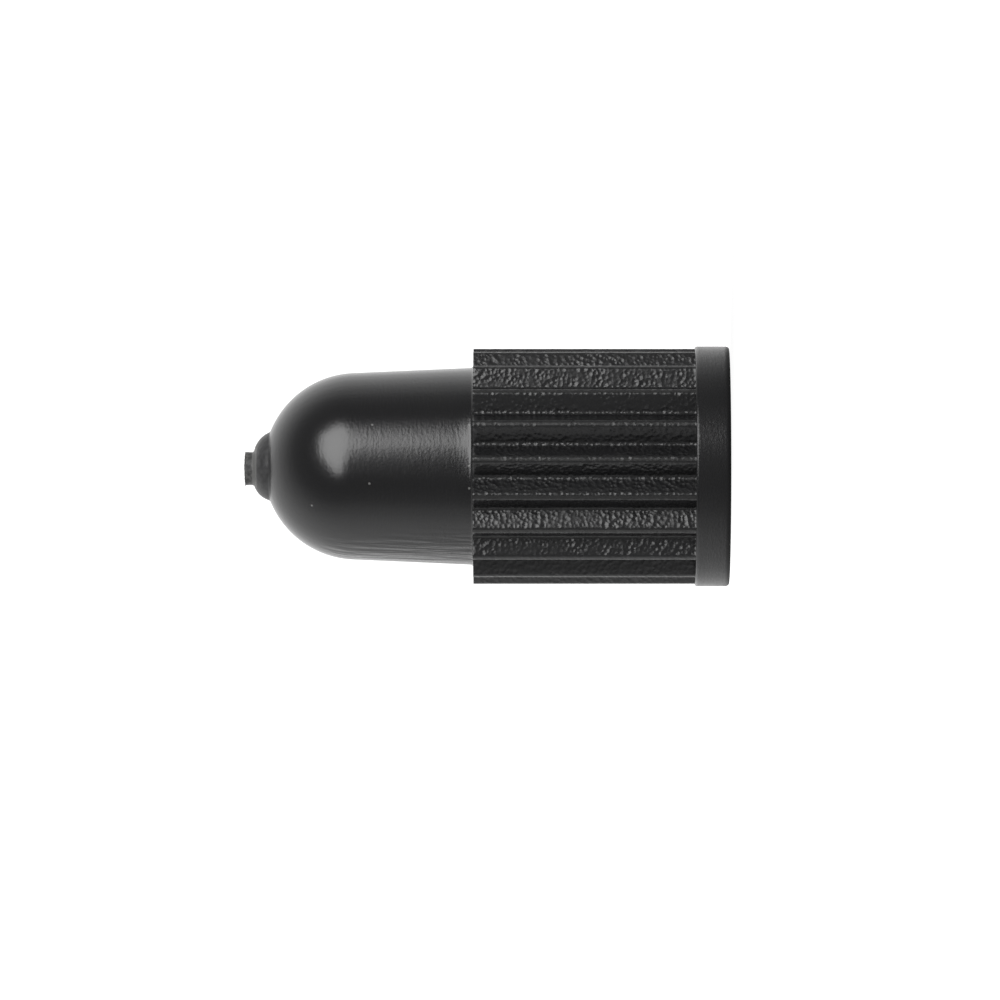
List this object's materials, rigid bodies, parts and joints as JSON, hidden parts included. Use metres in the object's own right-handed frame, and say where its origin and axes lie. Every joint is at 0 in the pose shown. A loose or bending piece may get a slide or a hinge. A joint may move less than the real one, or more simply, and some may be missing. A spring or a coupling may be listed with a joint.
{
  "type": "tyre valve cap",
  "caption": "Long domed plastic cap that screws onto a slim bicycle tyre valve, with a ribbed grip, a plain collar at the mouth and a snapped sprue nub on the crown.",
  "frame": {"origin": "centre of the open rim's face, at the cap's lowest plane", "axes": "+Z along the cap's axis towards its closed, domed end, -Y towards the camera of the picture, +X up in the picture"},
  "size_m": [0.0084, 0.0084, 0.017],
  "materials": {
    "moulding": "black injection moulding, satin body and collar, coarse eroded texture on the grip"
  },
  "bodies": {
    "root": {"cap": "moulding"}
  },
  "joints": []
}
